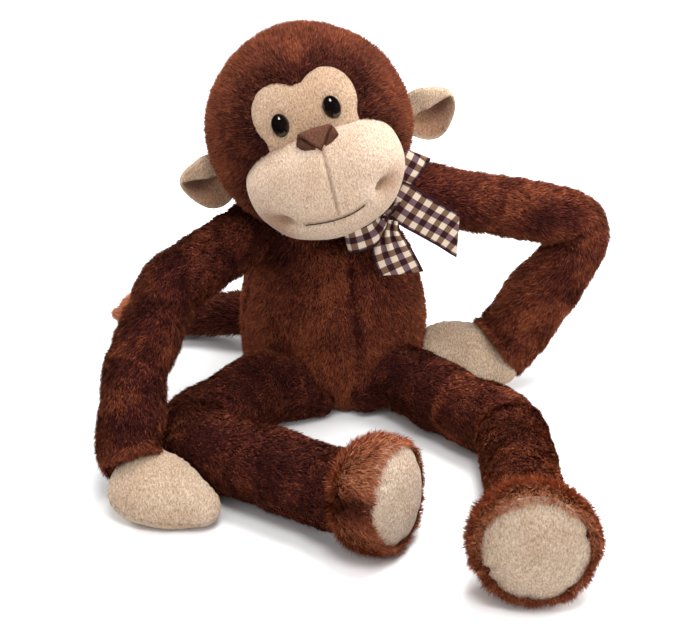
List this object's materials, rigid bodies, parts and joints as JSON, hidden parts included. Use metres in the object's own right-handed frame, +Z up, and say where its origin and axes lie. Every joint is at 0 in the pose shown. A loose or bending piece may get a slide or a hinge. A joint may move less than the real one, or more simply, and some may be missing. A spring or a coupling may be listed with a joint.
{
  "type": "stuffed monkey",
  "caption": "Sitting long-limbed plush monkey with velour face, ears, hands and soles, and a checked ribbon bow at its neck.",
  "frame": {"origin": "middle of the flat seat under the torso, on the surface that the monkey sits on", "axes": "+Z up, the monkey faces -Y, its left side is +X"},
  "size_m": [0.327, 0.3473, 0.237],
  "materials": {
    "plush": "short dense plush pile, dark reddish brown",
    "long_plush": "longer fluffy plush pile, reddish brown",
    "velour": "very short velour pile, tan",
    "stuffing": "white polyester fibre",
    "lining_cloth": "plain woven cotton",
    "ribbon": "woven gingham ribbon, brown and cream",
    "nose_suede": "matte brown suede",
    "embroidery": "twisted dark brown thread",
    "eye_plastic": "glossy black",
    "washer_plastic": "matte white"
  },
  "bodies": {
    "torso": {"torso_skin": "plush", "torso_stuffing": "stuffing", "pellet_bag": "lining_cloth", "collar_ribbon": "ribbon", "bow_knot": "ribbon", "bow_loop_upper": "ribbon", "bow_loop_lower": "ribbon", "bow_tail_upper": "ribbon", "bow_tail_lower": "ribbon"},
    "neck": {"neck_skin": "plush", "neck_stuffing": "stuffing"},
    "head": {"head_skin": "plush", "head_stuffing": "stuffing", "face_patch": "velour", "muzzle_skin": "velour", "muzzle_stuffing": "stuffing", "nose": "nose_suede", "mouth_stitch": "embroidery", "eye_right": "eye_plastic", "eye_left": "eye_plastic", "eye_washer_right": "washer_plastic", "eye_washer_left": "washer_plastic"},
    "ear_right": {"ear_right_back": "velour", "ear_right_lining": "velour"},
    "ear_left": {"ear_left_back": "velour", "ear_left_lining": "velour"},
    "upper_arm_right": {"upper_arm_right_skin": "plush", "upper_arm_right_stuffing": "stuffing"},
    "forearm_right": {"forearm_right_skin": "plush", "forearm_right_stuffing": "stuffing"},
    "hand_right": {"hand_right_skin": "velour", "hand_right_stuffing": "stuffing"},
    "thigh_right": {"thigh_right_skin": "plush", "thigh_right_stuffing": "stuffing"},
    "shin_right": {"shin_right_skin": "plush", "shin_right_stuffing": "stuffing"},
    "foot_right": {"foot_right_skin": "long_plush", "foot_right_stuffing": "stuffing", "sole_right": "velour"},
    "upper_arm_left": {"upper_arm_left_skin": "plush", "upper_arm_left_stuffing": "stuffing"},
    "forearm_left": {"forearm_left_skin": "plush", "forearm_left_stuffing": "stuffing"},
    "hand_left": {"hand_left_skin": "velour", "hand_left_stuffing": "stuffing"},
    "thigh_left": {"thigh_left_skin": "plush", "thigh_left_stuffing": "stuffing"},
    "shin_left": {"shin_left_skin": "plush", "shin_left_stuffing": "stuffing"},
    "foot_left": {"foot_left_skin": "long_plush", "foot_left_stuffing": "stuffing", "sole_left": "velour"},
    "tail_base": {"tail_base_skin": "plush", "tail_base_stuffing": "stuffing"},
    "tail_tip": {"tail_tip_skin": "plush", "tail_tip_stuffing": "stuffing"}
  },
  "joints": [
    {"name": "head_turn", "type": "hinge", "parent": "torso", "child": "neck", "pos_m": [-0.014, -0.012, 0.177], "axis": [0, 0, 1], "range_deg": [-40, 8]},
    {"name": "head_nod", "type": "hinge", "parent": "neck", "child": "head", "pos_m": [-0.014, -0.012, 0.177], "axis": [1, 0, 0], "range_deg": [-20, 4]},
    {"name": "ear_right_flex", "type": "hinge", "parent": "head", "child": "ear_right", "pos_m": [-0.06695, -0.01257, 0.14087], "axis": [-0.309, 0, 0.9511], "range_deg": [-20, 20]},
    {"name": "ear_left_flex", "type": "hinge", "parent": "head", "child": "ear_left", "pos_m": [0.04795, 0.00441, 0.1782], "axis": [-0.309, 0, 0.9511], "range_deg": [-20, 20]},
    {"name": "shoulder_right", "type": "hinge", "parent": "torso", "child": "upper_arm_right", "pos_m": [-0.046, -0.008, 0.101], "axis": [-0.8182, 0.5749, 0], "range_deg": [0, 12]},
    {"name": "elbow_right", "type": "hinge", "parent": "upper_arm_right", "child": "forearm_right", "pos_m": [-0.098, -0.082, 0.099], "axis": [0.7701, -0.5499, 0.3233], "range_deg": [-45, 0]},
    {"name": "wrist_right", "type": "hinge", "parent": "forearm_right", "child": "hand_right", "pos_m": [-0.117, -0.148, 0.032], "axis": [-0.3095, -0.6321, 0.7104], "range_deg": [-45, 12]},
    {"name": "shoulder_left", "type": "hinge", "parent": "torso", "child": "upper_arm_left", "pos_m": [0.047, 0.003, 0.117], "axis": [0.0815, -0.9967, 0], "range_deg": [0, 45]},
    {"name": "elbow_left", "type": "hinge", "parent": "upper_arm_left", "child": "forearm_left", "pos_m": [0.157, 0.012, 0.103], "axis": [-0.1056, 0.9732, -0.2042], "range_deg": [-110, 2]},
    {"name": "wrist_left", "type": "hinge", "parent": "forearm_left", "child": "hand_left", "pos_m": [0.11, -0.008, 0.032], "axis": [0.4058, 0.7737, -0.4866], "range_deg": [-45, 35]},
    {"name": "hip_right", "type": "hinge", "parent": "torso", "child": "thigh_right", "pos_m": [-0.038, -0.048, 0.025], "axis": [-0.8357, 0.5492, 0], "range_deg": [-32, 0]},
    {"name": "knee_right", "type": "hinge", "parent": "thigh_right", "child": "shin_right", "pos_m": [-0.084, -0.118, 0.024], "axis": [-0.6364, -0.7714, 0], "range_deg": [-10, 60]},
    {"name": "ankle_right", "type": "hinge", "parent": "shin_right", "child": "foot_right", "pos_m": [-0.004, -0.184, 0.027], "axis": [-0.6196, -0.7849, 0], "range_deg": [-35, 35]},
    {"name": "hip_left", "type": "hinge", "parent": "torso", "child": "thigh_left", "pos_m": [0.038, -0.042, 0.025], "axis": [-0.6775, -0.7355, 0], "range_deg": [-60, 32]},
    {"name": "knee_left", "type": "hinge", "parent": "thigh_left", "child": "shin_left", "pos_m": [0.114, -0.112, 0.025], "axis": [-0.9985, 0.055, 0], "range_deg": [-20, 50]},
    {"name": "ankle_left", "type": "hinge", "parent": "shin_left", "child": "foot_left", "pos_m": [0.108, -0.221, 0.028], "axis": [-0.9989, 0.0465, 0], "range_deg": [-35, 35]},
    {"name": "tail_swing", "type": "hinge", "parent": "torso", "child": "tail_base", "pos_m": [-0.024, 0.05, 0.022], "axis": [0, 0, 1], "range_deg": [-60, 14]},
    {"name": "tail_curl", "type": "hinge", "parent": "tail_base", "child": "tail_tip", "pos_m": [-0.084, 0.062, 0.017], "axis": [0, 0, 1], "range_deg": [-70, 50]}
  ]
}
